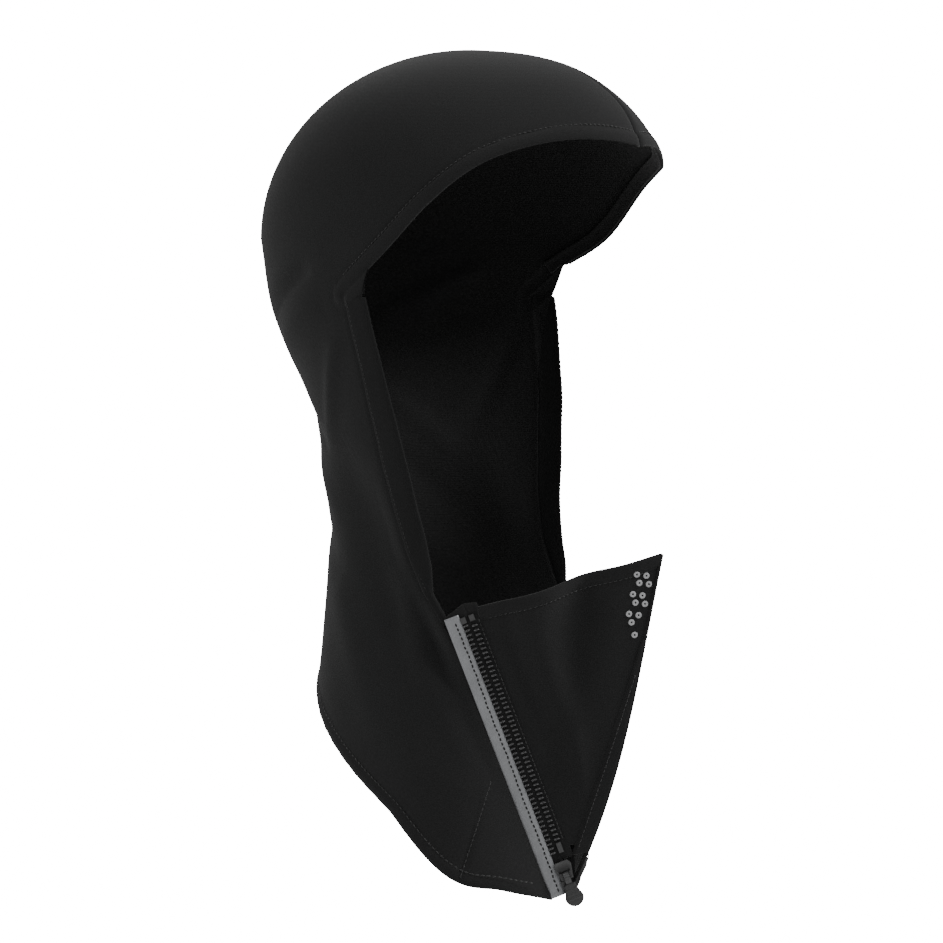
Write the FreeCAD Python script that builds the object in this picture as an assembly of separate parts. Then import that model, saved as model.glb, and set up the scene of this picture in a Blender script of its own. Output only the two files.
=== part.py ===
import FreeCAD, Part
import math
import os

# A balaclava as worn: hood, neck and a face mask whose right half is set free by a side zip.
# Millimetres, +Z up. The wearer faces -Y and the wearer's right is -X.
# The origin is the centre of the head, level with its widest place.

V = FreeCAD.Vector

# ---- driving sizes -------------------------------------------------------------------------
HEAD_WIDTH = 156.0          # across the ears, outside the fabric
HEAD_DEPTH = 198.0          # brow to back of head
HEAD_RISE = 84.0            # crown above the widest level
FABRIC = 1.2                # fleece thickness
NECK_HALF_WIDTH = 57.0      # narrowest place of the neck
NECK_BACK = 65.0            # nape behind the head's axis
NECK_FRONT = 54.0           # throat before the head's axis
NECK_LEVEL = -130.0         # height of the narrowest place
COLLAR_HALF_WIDTH = 61.0    # collar at its hem
COLLAR_BACK = 73.0
COLLAR_DROP = 290.0         # lowest point of the front hem below the origin
NAPE_DROP = 188.0           # hem at the nape
BROW_RISE = 41.0            # brow edge at the forehead's centre
TEMPLE = (100.0, -25.0)     # angle from the front and height of the facing's upper corner

ZIP_TOP = V(-50.0, -31.0, -164.0)       # centre line of the zip, where its chains begin
ZIP_BOTTOM = V(-5.0, -56.0, -284.0)     # a lower point on the same line
ZIP_CROSS = V(0.64, -0.77, 0.0)         # rough direction across the zip, towards the mask
FRONT_TOP = V(0.0, -103.0, -139.0)      # upper end of the centre-front seam
FRONT_BOTTOM = V(0.0, -52.0, -291.0)    # its lower end

ZIP_LENGTH = 136.5          # tapes and end box together
CHAIN_START = 6.0           # first tooth below the tape's upper end
CHAIN_END_OUTER = 120.0
CHAIN_END_INNER = 116.0
TOOTH_PITCH = 2.2
TOOTH_HALF_GAP = 0.8        # open zip: the two rows lie this far each side of the centre
TOOTH_REACH = 2.4           # root to tip
TOOTH_HALF_HEIGHT = 0.8
TAPE_THICK = 0.5
TAPE_WIDTH = 5.8            # the sewn-down tape of each half
INNER_TAPE_WIDTH = 1.8
REFLECTIVE_WIDTH = 5.8
REFLECTIVE_THICK = 0.5

SLIDER_LENGTH = 8.5
SLIDER_HALF_WIDTH = 4.0
SLIDER_PLATE = 1.0
SLIDER_START = 121.5        # upper end of the parked slider along the zip
SLIDER_TAPER = 1.2          # how far the plates narrow towards their ends
POST_HALF = TOOTH_HALF_GAP - 0.35       # the post that parts the two rows
LUG_NEAR = 1.6              # the bridge's cheeks, from the middle outwards
LUG_FAR = 2.6
LUG_HEIGHT = 2.4
PIN_RISE = 1.4              # pull's pin above the upper plate
PIN_SETBACK = 2.5           # and before the slider's lower end
PULL_LENGTH = 11.0
PULL_WIDTH = 8.5
PULL_THICK = 2.2
PULL_PIN_RADIUS = 0.7
PULL_HOLE_PLAY = 0.05
EYE_RADIUS = 1.3            # also half the width of the eye and of its neck
NECK_LENGTH = 4.0
NECK_HALF_THICK = 0.6
RIB_COUNT = 3
RIB_PITCH = 2.0
RIB_RISE = 0.5

STOP_LENGTH = 2.8           # each half's top stop
STOP_HALF_HEIGHT = 0.9
END_PIN_LENGTH = 4.8
BOX_HALF_HEIGHT = 1.5
BOX_SIDE = 1.6              # how far the end box reaches towards the mask

HEM_WIDTH = 6.5
FACING_THICK = 1.4
SEAM_TAPE_HALF = 4.0        # crown seam allowance each side of the middle
SEAM_BEAD = 1.0             # radius of the front seam's bead
SEAM_MARGIN = 2.6           # mask panels stop this far from the front seam's line
LAP_START = 0.36            # share of the panel's length where the lap begins, below the vents
LAP_END = 0.92
LAP_WIDTH_TOP = 1.2
LAP_WIDTH_BOTTOM = 5.0
LAP_THICK = 0.9
MASK_BULGE = 5.0            # how far the mask panels stand out from flat

VENT_RADIUS = 1.45
VENT_HOLE = 0.55
VENT_THICK = 0.5
VENT_START = 0.082          # share of the panel's length down to the first row
VENT_STEP = 0.0345          # and from one row to the next
VENT_NEAR = 6.2             # from the front seam to the near column
VENT_FAR = 11.1             # and to the far column
VENT_STAGGER = 2.1          # odd rows lie this much closer to the seam
VENT_TILT = 0.016           # the far column's rows start this much higher

GAP = 0.2                   # between sewn neighbours
SEW_GAP = 0.6               # between a panel and an allowance inside it
HEM_EDGE = 0.5              # the allowance stays this far back from the panel's edge
CLEAR = 0.4                 # between pieces that move past each other

# Hand-chosen stations below the origin: height, half width, front depth, back depth.
STATIONS = (
    (0.0, HEAD_WIDTH / 2, HEAD_DEPTH / 2, HEAD_DEPTH / 2),
    (-34.0, HEAD_WIDTH / 2 - 3.0, HEAD_DEPTH / 2 - 9.0, HEAD_DEPTH / 2 - 7.0),
    (-69.0, (HEAD_WIDTH / 2 + NECK_HALF_WIDTH) / 2 + 2.0, (HEAD_DEPTH / 2 + NECK_FRONT) / 2 - 4.0, NECK_BACK + 8.5),
    (-96.0, NECK_HALF_WIDTH + 6.5, NECK_FRONT + 6.0, NECK_BACK + 0.5),
    (NECK_LEVEL, NECK_HALF_WIDTH, NECK_FRONT, NECK_BACK),
    (-178.0, NECK_HALF_WIDTH + 0.5, NECK_FRONT, NECK_BACK + 3.6),
    (-215.0, COLLAR_HALF_WIDTH - 2.0, NECK_FRONT, COLLAR_BACK),
    (-COLLAR_DROP, COLLAR_HALF_WIDTH, NECK_FRONT, COLLAR_BACK),
)

# Edges as (angle from the front in degrees, height).
BROW_EDGE = ((0.4, BROW_RISE), (24.0, BROW_RISE + 2.0), (39.0, BROW_RISE + 0.8), (53.0, BROW_RISE - 4.0),
             (63.5, BROW_RISE - 12.0), (74.0, BROW_RISE - 26.0), (85.0, BROW_RISE - 45.0), TEMPLE)
FACING_SEAM = (TEMPLE, (97.0, -64.0), (95.0, -89.0), (91.5, -116.0), (86.0, -136.0), (76.0, -157.0))
FACE_EDGE = ((93.0, TEMPLE[1] - 1.5), (88.4, -62.0), (84.0, -89.0), (79.5, -116.0), (74.5, -138.0), (69.0, -157.0))
COLLAR_HEM = ((179.6, -NAPE_DROP), (146.0, -NAPE_DROP - 15.0), (100.0, 46.0 - COLLAR_DROP),
              (62.0, 9.0 - COLLAR_DROP), (35.0, 2.0 - COLLAR_DROP))


# ---- the body's surface --------------------------------------------------------------------
def hermite(keys, values, at):
    """Smooth curve through values at rising keys: cubic spans whose slopes join the neighbours."""
    last = len(keys) - 1
    span = 0
    while span < last - 1 and at > keys[span + 1]:
        span += 1
    width = keys[span + 1] - keys[span]
    t = (at - keys[span]) / width

    def slope(i):
        low, high = max(i - 1, 0), min(i + 1, last)
        return (values[high] - values[low]) / (keys[high] - keys[low])

    rise = values[span + 1] - values[span]
    start, end = slope(span) * width, slope(span + 1) * width
    return values[span] + t * start + t * t * (3 * rise - 2 * start - end) + t ** 3 * (start + end - 2 * rise)


def section(z):
    """Half width, front depth and back depth of the body at a height."""
    if z >= 0.0:
        shrink = math.sqrt(max(1.0 - (z / HEAD_RISE) ** 2, 0.0))
        return tuple(size * shrink for size in STATIONS[0][1:])
    drops = [-row[0] for row in STATIONS]
    return tuple(hermite(drops, [row[column] for row in STATIONS], -z) for column in (1, 2, 3))


def on_body(angle, z):
    """Point of the right half at an angle from the front (180 is the nape) and a height."""
    width, front, back = section(z)
    turn = math.radians(angle)
    depth = front if angle < 90.0 else back
    return V(-width * math.sin(turn), -depth * math.cos(turn), z)


def to_body(point):
    """Moves a point onto the body: radially above the origin, level with itself below it."""
    width, front, back = STATIONS[0][1:] if point.z > 0 else section(point.z)
    depth = front if point.y < 0 else back
    size = (point.x / width) ** 2 + (point.y / depth) ** 2
    if point.z > 0:
        size += (point.z / HEAD_RISE) ** 2
        return point * (1.0 / math.sqrt(size))
    scale = 1.0 / math.sqrt(size)
    return V(point.x * scale, point.y * scale, point.z)


def along(points, t):
    """Angle and height at a share t of a list of (angle, height) points."""
    keys = [i / (len(points) - 1) for i in range(len(points))]
    return [hermite(keys, [p[k] for p in points], t) for k in (0, 1)]


# ---- the zip's own straight frame ----------------------------------------------------------
ZIP_DOWN = (ZIP_BOTTOM - ZIP_TOP).normalize()
ZIP_ACROSS = (ZIP_CROSS - ZIP_DOWN * ZIP_CROSS.dot(ZIP_DOWN)).normalize()
ZIP_OUT = ZIP_DOWN.cross(ZIP_ACROSS)
PANEL_EDGE = TOOTH_HALF_GAP + TOOTH_REACH + GAP + REFLECTIVE_WIDTH + GAP
MASK_EDGE = TOOTH_HALF_GAP + TOOTH_REACH + GAP + INNER_TAPE_WIDTH + CLEAR


def zip_point(down, across, out=0.0):
    return ZIP_TOP + ZIP_DOWN * down + ZIP_ACROSS * across + ZIP_OUT * out


def zip_prism(corners, low, high):
    """Solid with an outline of (down, across) corners, between two heights off the zip's plane."""
    ring = [zip_point(down, across, low) for down, across in corners]
    face = Part.Face(Part.makePolygon(ring + ring[:1]))
    return face.extrude(ZIP_OUT * (high - low))


def zip_block(down, across, out):
    """Box between two values of each zip direction."""
    corners = ((down[0], across[0]), (down[1], across[0]), (down[1], across[1]), (down[0], across[1]))
    return zip_prism(corners, out[0], out[1])


# ---- fabric pieces -------------------------------------------------------------------------
def normals(grid):
    """Unit normals of a grid of points, turned away from the body's upright axis."""
    rows, columns = len(grid), len(grid[0])
    table = []
    for i in range(rows):
        line = []
        for j in range(columns):
            down = grid[min(i + 1, rows - 1)][j] - grid[max(i - 1, 0)][j]
            across = grid[i][min(j + 1, columns - 1)] - grid[i][max(j - 1, 0)]
            line.append(down.cross(across).normalize())
        table.append(line)
    middle = grid[rows // 2][columns // 2]
    outward = V(middle.x, middle.y, max(middle.z, 0.0))
    if table[rows // 2][columns // 2].dot(outward) < 0:
        table = [[n * -1 for n in line] for line in table]
    return table


def spline_surface(poles):
    """Smooth surface that a grid of points steers, with evenly spaced knots and its edges at its ends."""
    knots = []
    for count in (len(poles), len(poles[0])):
        degree = min(3, count - 1)
        spans = count - degree
        knots.append((degree, list(range(spans + 1)), [degree + 1] + [1] * (spans - 1) + [degree + 1]))
    (u_degree, u_knots, u_mults), (v_degree, v_knots, v_mults) = knots
    surface = Part.BSplineSurface()
    surface.buildFromPolesMultsKnots(poles, u_mults, v_mults, u_knots, v_knots, False, False, u_degree, v_degree)
    return surface


def fabric(grid, top=0.0, thick=FABRIC):
    """Closed sheet over a grid of points: outer face raised by top, inner face thick below it."""
    lines = normals(grid)
    rows, columns = range(len(grid)), range(len(grid[0]))
    outer, inner = [[[grid[i][j] + lines[i][j] * lift for j in columns] for i in rows]
                    for lift in (top, top - thick)]
    walls = [outer, inner]
    for i in (0, -1):
        walls.append([outer[i], inner[i]])
    for j in (0, -1):
        walls.append([[row[j] for row in outer], [row[j] for row in inner]])
    shell = Part.makeShell([spline_surface(poles).toShape() for poles in walls])
    shell.sewShape()
    solid = Part.makeSolid(shell)
    if solid.Volume < 0:
        solid.reverse()
    return solid


def shares(start, end, count):
    return [start + (end - start) * i / (count - 1) for i in range(count)]


DOME_SHARE = 0.50           # share of the middle seam that lies over the dome
FACE_SHARE = 0.50           # share of the front edge that lies beside the face
FRONT_PACE = 1.85           # the front edge is followed slowly at first, so that the grid fans out
BROW_ANGLE = math.degrees(math.asin(BROW_RISE / HEAD_RISE))


def middle_seam(p, x):
    """Point of the seam over the crown: 0 at the brow, 1 at the nape's hem, a distance x off centre."""
    if p < DOME_SHARE:
        turn = math.radians(BROW_ANGLE + (180.0 - BROW_ANGLE) * p / DOME_SHARE)
        return to_body(V(x, -HEAD_DEPTH / 2 * math.cos(turn), HEAD_RISE * math.sin(turn) + 0.001))
    z = -NAPE_DROP * (p - DOME_SHARE) / (1.0 - DOME_SHARE)
    return to_body(V(x, section(z)[2], z - 0.001))


def front_edge(p):
    """Point of the side panel's front edge: 0 at the temple, then beside the face, then beside the zip."""
    if p < FACE_SHARE:
        return on_body(*along(FACING_SEAM, p / FACE_SHARE))
    start = 2.0
    share = (p - FACE_SHARE) / (1.0 - FACE_SHARE)
    straight = zip_point(start + (ZIP_LENGTH - start) * share, -PANEL_EDGE)
    meet = zip_point(start, -PANEL_EDGE)
    seam_end = on_body(*FACING_SEAM[-1])
    ease = max(0.0, 1.0 - share / 0.15) ** 2
    return straight + (seam_end - meet) * ease


def side_point(p, q):
    """Right side panel: q runs from the middle seam to the front edge, p from the brow to the hem.

    A patch blended between its four edges, then laid onto the body; near the zip it is drawn
    over to the zip's straight line.
    """
    x = -GAP
    front = front_edge(p ** FRONT_PACE)
    chord = middle_seam(p, x) * (1 - q) + front * q
    brow = on_body(*along(BROW_EDGE, q)) - (middle_seam(0.0, x) * (1 - q) + front_edge(0.0) * q)
    end = to_body(front_edge(1.0))
    width, depth, _ = section(end.z)
    hem_points = COLLAR_HEM + ((math.degrees(math.atan2(-end.x / width, -end.y / depth)), end.z),)
    hem = on_body(*along(hem_points, q)) - (middle_seam(1.0, x) * (1 - q) + front_edge(1.0) * q)
    hem -= (end - front_edge(1.0)) * q
    point = to_body(chord + brow * (1 - p ** 1.4) ** 4 + hem * p ** 2.8)
    pull = max(0.0, (q - 0.6) / 0.4) ** 2
    return point + (front - to_body(front)) * pull


def facing_grid():
    """Strip between the panel's seam and the free edge of the face opening."""
    grid = []
    for t in shares(0.0, 0.93, 14):
        seam = on_body(*along(FACING_SEAM, t))
        edge = on_body(*along(FACE_EDGE, t))
        step = (edge - seam).normalize()
        grid.append([to_body(seam + step * GAP + (edge - seam - step * GAP) * s) for s in shares(0.0, 1.0, 5)])
    return grid


def front_seam(t):
    return FRONT_TOP + (FRONT_BOTTOM - FRONT_TOP) * t


def mask_point(t, s, edge, reach, margin=SEAM_MARGIN):
    """Mask panel: t from the top edge down a length reach of the zip, s from the zip to the front seam."""
    side = zip_point(1.0 + (reach - 1.0) * t, edge)
    front = front_seam(t * reach / ZIP_LENGTH * 0.985)
    step = (side - front).normalize()
    near = front + step * margin
    bulge = MASK_BULGE * math.sin(math.pi * s) * (1.0 - t) ** 1.5
    return side + (near - side) * s + ZIP_OUT * bulge


def mask_grid(edge, reach, t_range=(0.0, 1.0), s_range=(0.0, 1.0), counts=(12, 9)):
    return [[mask_point(t, s, edge, reach) for s in shares(*s_range, counts[1])]
            for t in shares(*t_range, counts[0])]


def lap_grid():
    """Narrow strip over the mask panel's front margin, wider towards the bottom."""
    grid = []
    for t in shares(LAP_START, LAP_END, 10):
        near = mask_point(t, 1.0, MASK_EDGE, CHAIN_END_INNER)
        side = mask_point(t, 0.0, MASK_EDGE, CHAIN_END_INNER)
        width = LAP_WIDTH_TOP + (LAP_WIDTH_BOTTOM - LAP_WIDTH_TOP) * (t - LAP_START) / (LAP_END - LAP_START)
        share = width / (side - near).Length
        grid.append([mask_point(t, 1.0 - share * k, MASK_EDGE, CHAIN_END_INNER) for k in shares(0.0, 1.0, 4)])
    return grid


def inner_strip(edge, width):
    """Hem allowance: a strip of even width inside the panel, along a list of points on its edge."""
    grid = []
    for i, point in enumerate(edge):
        forward = edge[min(i + 1, len(edge) - 1)] - edge[max(i - 1, 0)]
        outward = V(point.x, point.y, max(point.z, 0.0))
        side = outward.cross(forward).normalize()
        grid.append([to_body(point + side * (HEM_EDGE + (width - HEM_EDGE) * k)) for k in shares(0.0, 1.0, 4)])
    return fabric(grid, top=-FABRIC - SEW_GAP, thick=FABRIC)


def mirrored(solid):
    return solid.mirror(V(0, 0, 0), V(1, 0, 0))


def crown_strip():
    """Seam allowance inside the middle seam, from behind the brow hem to the collar hem."""
    grid = []
    for p in shares(0.03, 0.96, 48):
        grid.append([middle_seam(p, x) for x in shares(-SEAM_TAPE_HALF, SEAM_TAPE_HALF, 5)])
    return fabric(grid, top=-FABRIC - SEW_GAP, thick=FABRIC)


# ---- zip pieces ----------------------------------------------------------------------------
def chain(start, end, side, stagger):
    """Comb of teeth on a rail; side is -1 for the hood's half and +1 for the mask's half."""
    root = side * (TOOTH_HALF_GAP + TOOTH_REACH)
    rail = side * (TOOTH_HALF_GAP + TOOTH_REACH * 0.7)
    tip = side * TOOTH_HALF_GAP
    corners = [(start, root), (start, rail)]
    count = int((end - start - TOOTH_PITCH) / TOOTH_PITCH)
    for i in range(count):
        at = start + stagger + i * TOOTH_PITCH
        corners += [(at + 0.3, rail), (at + 0.4, tip), (at + 1.3, tip), (at + 1.4, rail)]
    corners += [(end, rail), (end, root)]
    return zip_prism(corners, -TOOTH_HALF_HEIGHT, TOOTH_HALF_HEIGHT)


def zip_tape(side, width, start, end):
    near = side * (TOOTH_HALF_GAP + TOOTH_REACH + GAP)
    return zip_block((start, end), sorted((near, near + side * width)), (-TAPE_THICK, 0.0))


PIN_HEIGHT = TOOTH_HALF_HEIGHT + CLEAR + SLIDER_PLATE + PIN_RISE
PIN_DOWN = SLIDER_START + SLIDER_LENGTH - PIN_SETBACK


def slider():
    """Two plates joined by a post that runs between the rows, with a bridge for the pull's pin."""
    end = SLIDER_START + SLIDER_LENGTH
    low = TOOTH_HALF_HEIGHT + CLEAR
    top = low + SLIDER_PLATE
    half = SLIDER_HALF_WIDTH
    narrow = half - SLIDER_TAPER
    shoulder = SLIDER_START + 2.0
    outline = ((SLIDER_START, -narrow), (shoulder, -half), (end, -narrow),
               (end, narrow), (shoulder, half), (SLIDER_START, narrow))
    body = zip_prism(outline, low, top)
    body = body.fuse(zip_prism(outline, -top, -low))
    body = body.fuse(zip_block((SLIDER_START + 1.0, SLIDER_START + 3.0), (-POST_HALF, POST_HALF), (-low, low)))
    for side in (-1, 1):
        lug = sorted((side * LUG_NEAR, side * LUG_FAR))
        cheek = (PIN_DOWN - PIN_RISE, PIN_DOWN + PIN_RISE)
        body = body.fuse(zip_block(cheek, lug, (top, top + LUG_HEIGHT)))
    pin = Part.makeCylinder(PULL_PIN_RADIUS, 2 * LUG_FAR, zip_point(PIN_DOWN, -LUG_FAR, PIN_HEIGHT), ZIP_ACROSS)
    return body.fuse(pin).removeSplitter()


def pull_link():
    """Eye round the slider's pin, with a short neck that the tab is moulded on."""
    wide = (-EYE_RADIUS, EYE_RADIUS)
    thick = (PIN_HEIGHT - NECK_HALF_THICK, PIN_HEIGHT + NECK_HALF_THICK)
    eye = Part.makeCylinder(EYE_RADIUS, 2 * EYE_RADIUS, zip_point(PIN_DOWN, -EYE_RADIUS, PIN_HEIGHT), ZIP_ACROSS)
    neck = zip_block((PIN_DOWN + 0.5, PIN_DOWN + NECK_LENGTH), wide, thick)
    bore = PULL_PIN_RADIUS + PULL_HOLE_PLAY
    hole = Part.makeCylinder(bore, 4 * EYE_RADIUS, zip_point(PIN_DOWN, -2 * EYE_RADIUS, PIN_HEIGHT), ZIP_ACROSS)
    return eye.fuse(neck).cut(hole).removeSplitter()


def pull_tab():
    """Rounded moulded tab with cross ribs on its outer face."""
    start = PIN_DOWN + NECK_LENGTH
    half = PULL_WIDTH / 2
    low = PIN_HEIGHT - PULL_THICK / 2
    top = low + PULL_THICK
    corners = [(start, -half * 0.55), (start, half * 0.55)]
    for step in range(9):
        turn = math.radians(90.0 - step * 22.5)
        corners.append((start + PULL_LENGTH - half + half * math.cos(turn), half * math.sin(turn)))
    tab = zip_prism(corners, low, top)
    for i in range(RIB_COUNT):
        at = start + RIB_PITCH * (i + 1)
        tab = tab.fuse(zip_block((at, at + RIB_PITCH / 2), (-half * 0.6, half * 0.6), (top - GAP, top + RIB_RISE)))
    return tab.removeSplitter()


# ---- vents ---------------------------------------------------------------------------------
def vents():
    """Twelve small rings beside the front seam: two columns whose odd rows step towards the seam."""
    rings = []
    for column, rows in ((0, (0, 1, 2, 3, 4, 5)), (1, (0, 1, 2, 3, 4, 6))):
        for row in rows:
            down = VENT_START + row * VENT_STEP - (VENT_TILT if column == 0 else 0.0)
            away = (VENT_NEAR if column else VENT_FAR) - VENT_STAGGER * (row % 2)
            width = (mask_point(down, 0.0, MASK_EDGE, CHAIN_END_INNER)
                     - mask_point(down, 1.0, MASK_EDGE, CHAIN_END_INNER)).Length
            across = 1.0 - (away - SEAM_MARGIN) / width
            centre = mask_point(down, across, MASK_EDGE, CHAIN_END_INNER)
            a = mask_point(down + 0.01, across, MASK_EDGE, CHAIN_END_INNER) - centre
            b = mask_point(down, across + 0.01, MASK_EDGE, CHAIN_END_INNER) - centre
            out = a.cross(b).normalize()
            if out.dot(ZIP_OUT) < 0:
                out = out * -1
            base = centre + out * 0.1
            ring = Part.makeCylinder(VENT_RADIUS, VENT_THICK, base, out)
            hole = Part.makeCylinder(VENT_HOLE, VENT_THICK * 3, base - out * VENT_THICK, out)
            rings.append(ring.cut(hole))
    return Part.makeCompound(rings)


# ---- the pieces ----------------------------------------------------------------------------
side_panel = fabric([[side_point(p, q) for q in shares(0.0, 1.0, 26)] for p in shares(0.0, 1.0, 48)])
brow_hem = inner_strip([on_body(*along(BROW_EDGE, 1.0 - t)) for t in shares(0.0, 0.96, 28)], HEM_WIDTH)
collar_hem = inner_strip([side_point(1.0, q) for q in shares(0.04, 0.6, 24)], HEM_WIDTH)
facing = fabric(facing_grid(), thick=FACING_THICK)
left_mask_edge = -PANEL_EDGE + GAP
mask_right = fabric(mask_grid(MASK_EDGE, CHAIN_END_INNER))
mask_left = mirrored(fabric(mask_grid(left_mask_edge, ZIP_LENGTH - 2.0)))
hem_share = HEM_WIDTH / CHAIN_END_INNER
top_hem_right = fabric(mask_grid(MASK_EDGE, CHAIN_END_INNER, (0.0, hem_share), (0.06, 0.93), (4, 9)),
                       top=-FABRIC - SEW_GAP, thick=FABRIC)
top_hem_left = mirrored(fabric(mask_grid(left_mask_edge, ZIP_LENGTH - 2.0, (0.0, hem_share), (0.06, 0.93), (4, 9)),
                               top=-FABRIC - SEW_GAP, thick=FABRIC))
seam_line = FRONT_BOTTOM - FRONT_TOP
front_bead = Part.makeCylinder(SEAM_BEAD, seam_line.Length - 1.0, FRONT_TOP + seam_line.normalize() * 0.5, seam_line)
lap = fabric(lap_grid(), top=LAP_THICK + GAP, thick=LAP_THICK)
end_start = SLIDER_START + SLIDER_LENGTH + CLEAR
root = TOOTH_HALF_GAP + TOOTH_REACH
stop_span = (CHAIN_START - GAP - STOP_LENGTH, CHAIN_START - GAP)
inner_chain_end = CHAIN_END_INNER - 3.0
pin_span = (inner_chain_end + GAP, inner_chain_end + GAP + END_PIN_LENGTH)

pieces = {
    "side_panel_right": side_panel,
    "side_panel_left": mirrored(side_panel),
    "crown_seam_tape": crown_strip(),
    "brow_hem_right": brow_hem,
    "brow_hem_left": mirrored(brow_hem),
    "collar_hem_right": collar_hem,
    "collar_hem_left": mirrored(collar_hem),
    "face_facing_right": facing,
    "face_facing_left": mirrored(facing),
    "mask_panel_right": mask_right,
    "mask_panel_left": mask_left,
    "mask_top_hem_right": top_hem_right,
    "mask_top_hem_left": top_hem_left,
    "front_seam_bead": front_bead,
    "front_seam_lap": lap,
    "zip_tape_outer": zip_tape(-1, TAPE_WIDTH, 0.0, end_start - CLEAR),
    "zip_tape_inner": zip_tape(1, INNER_TAPE_WIDTH, 0.0, CHAIN_END_INNER),
    "zip_teeth_outer": chain(CHAIN_START, CHAIN_END_OUTER, -1, 0.0),
    "zip_teeth_inner": chain(CHAIN_START, inner_chain_end, 1, TOOTH_PITCH / 2),
    "zip_top_stop_outer": zip_block(stop_span, (-root, -TOOTH_HALF_GAP), (-STOP_HALF_HEIGHT, STOP_HALF_HEIGHT)),
    "zip_top_stop_inner": zip_block(stop_span, (TOOTH_HALF_GAP, root), (-STOP_HALF_HEIGHT, STOP_HALF_HEIGHT)),
    "zip_end_pin": zip_block(pin_span, (TOOTH_HALF_GAP, root - GAP), (-TOOTH_HALF_HEIGHT, TOOTH_HALF_HEIGHT)),
    "zip_end_box": zip_block((end_start, ZIP_LENGTH), (-root, BOX_SIDE), (-BOX_HALF_HEIGHT, BOX_HALF_HEIGHT)),
    "reflective_tape": zip_block((2.0, ZIP_LENGTH - 1.0),
                                 (-PANEL_EDGE + GAP, -PANEL_EDGE + GAP + REFLECTIVE_WIDTH),
                                 (GAP, GAP + REFLECTIVE_THICK)),
    "slider_body": slider(),
    "pull_link": pull_link(),
    "pull_tab": pull_tab(),
    "vent_rings_right": vents(),
    "vent_rings_left": mirrored(vents()),
}

os.makedirs("parts", exist_ok=True)
for name, shape in pieces.items():
    shape.exportStep("parts/" + name + ".step")
    print(name, "valid" if shape.isValid() else "NOT VALID", round(shape.Volume, 1), "mm3")
print("front seam top", FRONT_TOP, "direction", (FRONT_TOP - FRONT_BOTTOM).normalize())
print("zip up", ZIP_DOWN * -1, "across", ZIP_ACROSS, "out", ZIP_OUT)
print("pull pin", zip_point(PIN_DOWN, 0.0, PIN_HEIGHT))
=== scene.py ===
# %% [markdown]
# # A balaclava with a zip-off face mask
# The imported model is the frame: it fixes where every piece lies and what moves with what.
# This script only gives it its looks. Lengths are worked out in millimetres, as a pattern
# cutter would, and are turned into metres at the moment a mesh is made.

# %% Load the frame
import bpy
import math
import numpy as np
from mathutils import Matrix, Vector


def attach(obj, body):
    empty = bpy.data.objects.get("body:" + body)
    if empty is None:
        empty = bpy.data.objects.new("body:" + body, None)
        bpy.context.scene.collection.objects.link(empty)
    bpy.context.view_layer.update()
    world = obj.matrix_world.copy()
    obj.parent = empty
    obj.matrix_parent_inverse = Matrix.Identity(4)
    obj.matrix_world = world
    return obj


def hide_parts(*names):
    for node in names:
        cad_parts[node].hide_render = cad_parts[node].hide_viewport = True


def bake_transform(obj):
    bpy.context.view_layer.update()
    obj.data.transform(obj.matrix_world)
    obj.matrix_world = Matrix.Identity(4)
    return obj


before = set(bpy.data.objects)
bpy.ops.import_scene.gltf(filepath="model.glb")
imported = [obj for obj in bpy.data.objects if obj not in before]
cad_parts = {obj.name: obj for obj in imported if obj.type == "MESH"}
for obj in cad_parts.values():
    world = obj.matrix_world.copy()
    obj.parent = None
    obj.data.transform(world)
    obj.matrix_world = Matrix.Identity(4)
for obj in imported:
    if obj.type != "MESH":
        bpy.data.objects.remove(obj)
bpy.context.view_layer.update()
MM = 0.001

# %% [markdown]
# ## The camera and the light
# The hood is seen level and from the front right, from far off with a long lens, so that
# parallel seams stay nearly parallel. Three big soft lamps and a pale sweep stand in for a
# studio: black cloth shows its folds only through what it reflects, so the lamps are large.

# %% Camera
AZIMUTH = math.radians(-56.0)
VIEW_WIDTH = 0.4195
CAMERA_DISTANCE = 8.0
SENSOR = 36.0
CAMERA_RISE = 0.012
AIM = np.array([0.0006, -0.0009, -0.1036])
toward = np.array([math.sin(AZIMUTH), -math.cos(AZIMUTH), CAMERA_RISE])
toward /= np.linalg.norm(toward)
camera = bpy.data.objects.new("camera", bpy.data.cameras.new("camera"))
bpy.context.scene.collection.objects.link(camera)
camera.data.sensor_width = SENSOR
camera.data.lens = SENSOR * CAMERA_DISTANCE / VIEW_WIDTH
camera.location = AIM + toward * CAMERA_DISTANCE
camera.rotation_euler = Vector(-toward).to_track_quat("-Z", "Y").to_euler()
bpy.context.scene.camera = camera
print("lens", round(camera.data.lens, 1), "mm")

# %% Lamps and the pale sweep
SURROUND_LIGHT, BACKDROP_LIGHT = 0.42, 24.0


def area_lamp(name, azimuth, elevation, distance, size, watts):
    """A square lamp that looks at the hood from an azimuth (0 is in front) and an elevation."""
    lamp = bpy.data.objects.new(name, bpy.data.lights.new(name, "AREA"))
    bpy.context.scene.collection.objects.link(lamp)
    a, e = math.radians(azimuth), math.radians(elevation)
    way = Vector((math.sin(a) * math.cos(e), -math.cos(a) * math.cos(e), math.sin(e)))
    lamp.location = Vector(AIM) + way * distance
    lamp.rotation_euler = way.to_track_quat("Z", "Y").to_euler()
    lamp.data.size = size
    lamp.data.energy = watts


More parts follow.
